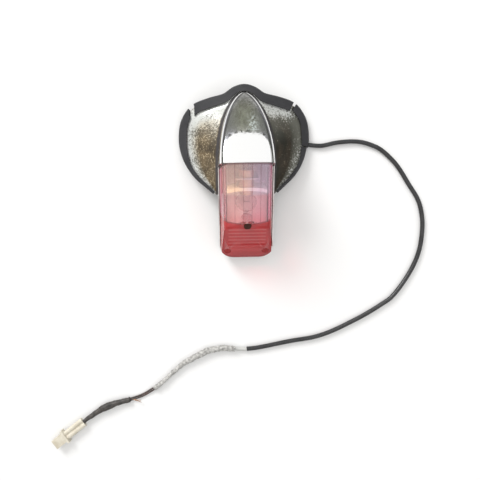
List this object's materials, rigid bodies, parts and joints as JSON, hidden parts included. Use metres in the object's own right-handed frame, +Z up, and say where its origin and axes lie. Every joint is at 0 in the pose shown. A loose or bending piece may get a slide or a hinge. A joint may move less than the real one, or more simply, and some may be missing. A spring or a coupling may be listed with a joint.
{
  "type": "motorcycle tail light",
  "caption": "Winged chrome tail light with a pointed hood, rubber edge trim, a removable red lens, a bayonet bulb and a free lead ending in a plug.",
  "frame": {"origin": "middle of the light's footprint on the surface that it rests on", "axes": "+Z up, +Y along the light to the nose of the hood, +X to the side that the lead leaves from"},
  "size_m": [0.4298, 0.4052, 0.0815],
  "materials": {
    "chrome_pitted": "pitted and rusty chrome",
    "trim_rubber": "dull",
    "lens_red": "clear red, ribbed",
    "clear_plastic": "clear",
    "zinc_steel": "dull zinc",
    "reflector_metal": "bright",
    "contact_brass": "dull",
    "insulator": "matt",
    "bulb_glass": "clear",
    "sheath": "satin",
    "sleeve_white": "matt",
    "tape_grey": "crumpled",
    "tape_black": "matt",
    "wire_dark": "satin",
    "connector_cream": "satin"
  },
  "bodies": {
    "housing": {"housing_shell": "chrome_pitted", "lens_frame": "chrome_pitted", "trim_top": "trim_rubber", "trim_left": "trim_rubber", "trim_right_upper": "trim_rubber", "trim_right_lower": "trim_rubber", "lens_gasket": "trim_rubber", "plate_window": "clear_plastic", "window_screws": "zinc_steel", "reflector": "reflector_metal", "socket_bracket": "zinc_steel", "socket_shell": "contact_brass", "contact_spring": "zinc_steel", "base_plate": "zinc_steel", "mounting_studs": "zinc_steel", "frame_rivets": "zinc_steel", "bracket_rivets": "zinc_steel", "housing_pillars": "chrome_pitted", "pillar_screws": "zinc_steel", "cable_clip": "zinc_steel", "clip_screws": "zinc_steel", "lead_inner": "sheath", "socket_wires": "wire_dark", "lead_sheath": "sheath", "inner_sleeve": "sleeve_white", "tape_wrap": "tape_grey", "lead_wires": "wire_dark", "black_tape_wrap": "tape_black", "connector_housing": "connector_cream", "connector_terminals": "contact_brass"},
    "lens": {"lens": "lens_red", "lens_post_screw": "zinc_steel", "lens_corner_screws": "zinc_steel"},
    "carrier": {"contact_carrier": "insulator", "contact_studs": "contact_brass"},
    "bulb": {"bulb_cap": "contact_brass", "bulb_glass": "bulb_glass", "bulb_filament": "zinc_steel"}
  },
  "joints": [
    {"name": "lens_off", "type": "slide", "parent": "housing", "child": "lens", "axis": [0, -0.3584, 0.9336], "range_m": [0, 0.06]},
    {"name": "bulb_push", "type": "slide", "parent": "housing", "child": "carrier", "axis": [0, 0.9336, 0.3584], "range_m": [0, 0.002], "stiffness_N_per_m": 1000, "deforming": ["contact_spring"]},
    {"name": "bulb_twist", "type": "hinge", "parent": "carrier", "child": "bulb", "pos_m": [0, -0.01789, 0.04279], "axis": [0, -0.9336, -0.3584], "range_deg": [0, 20]}
  ]
}
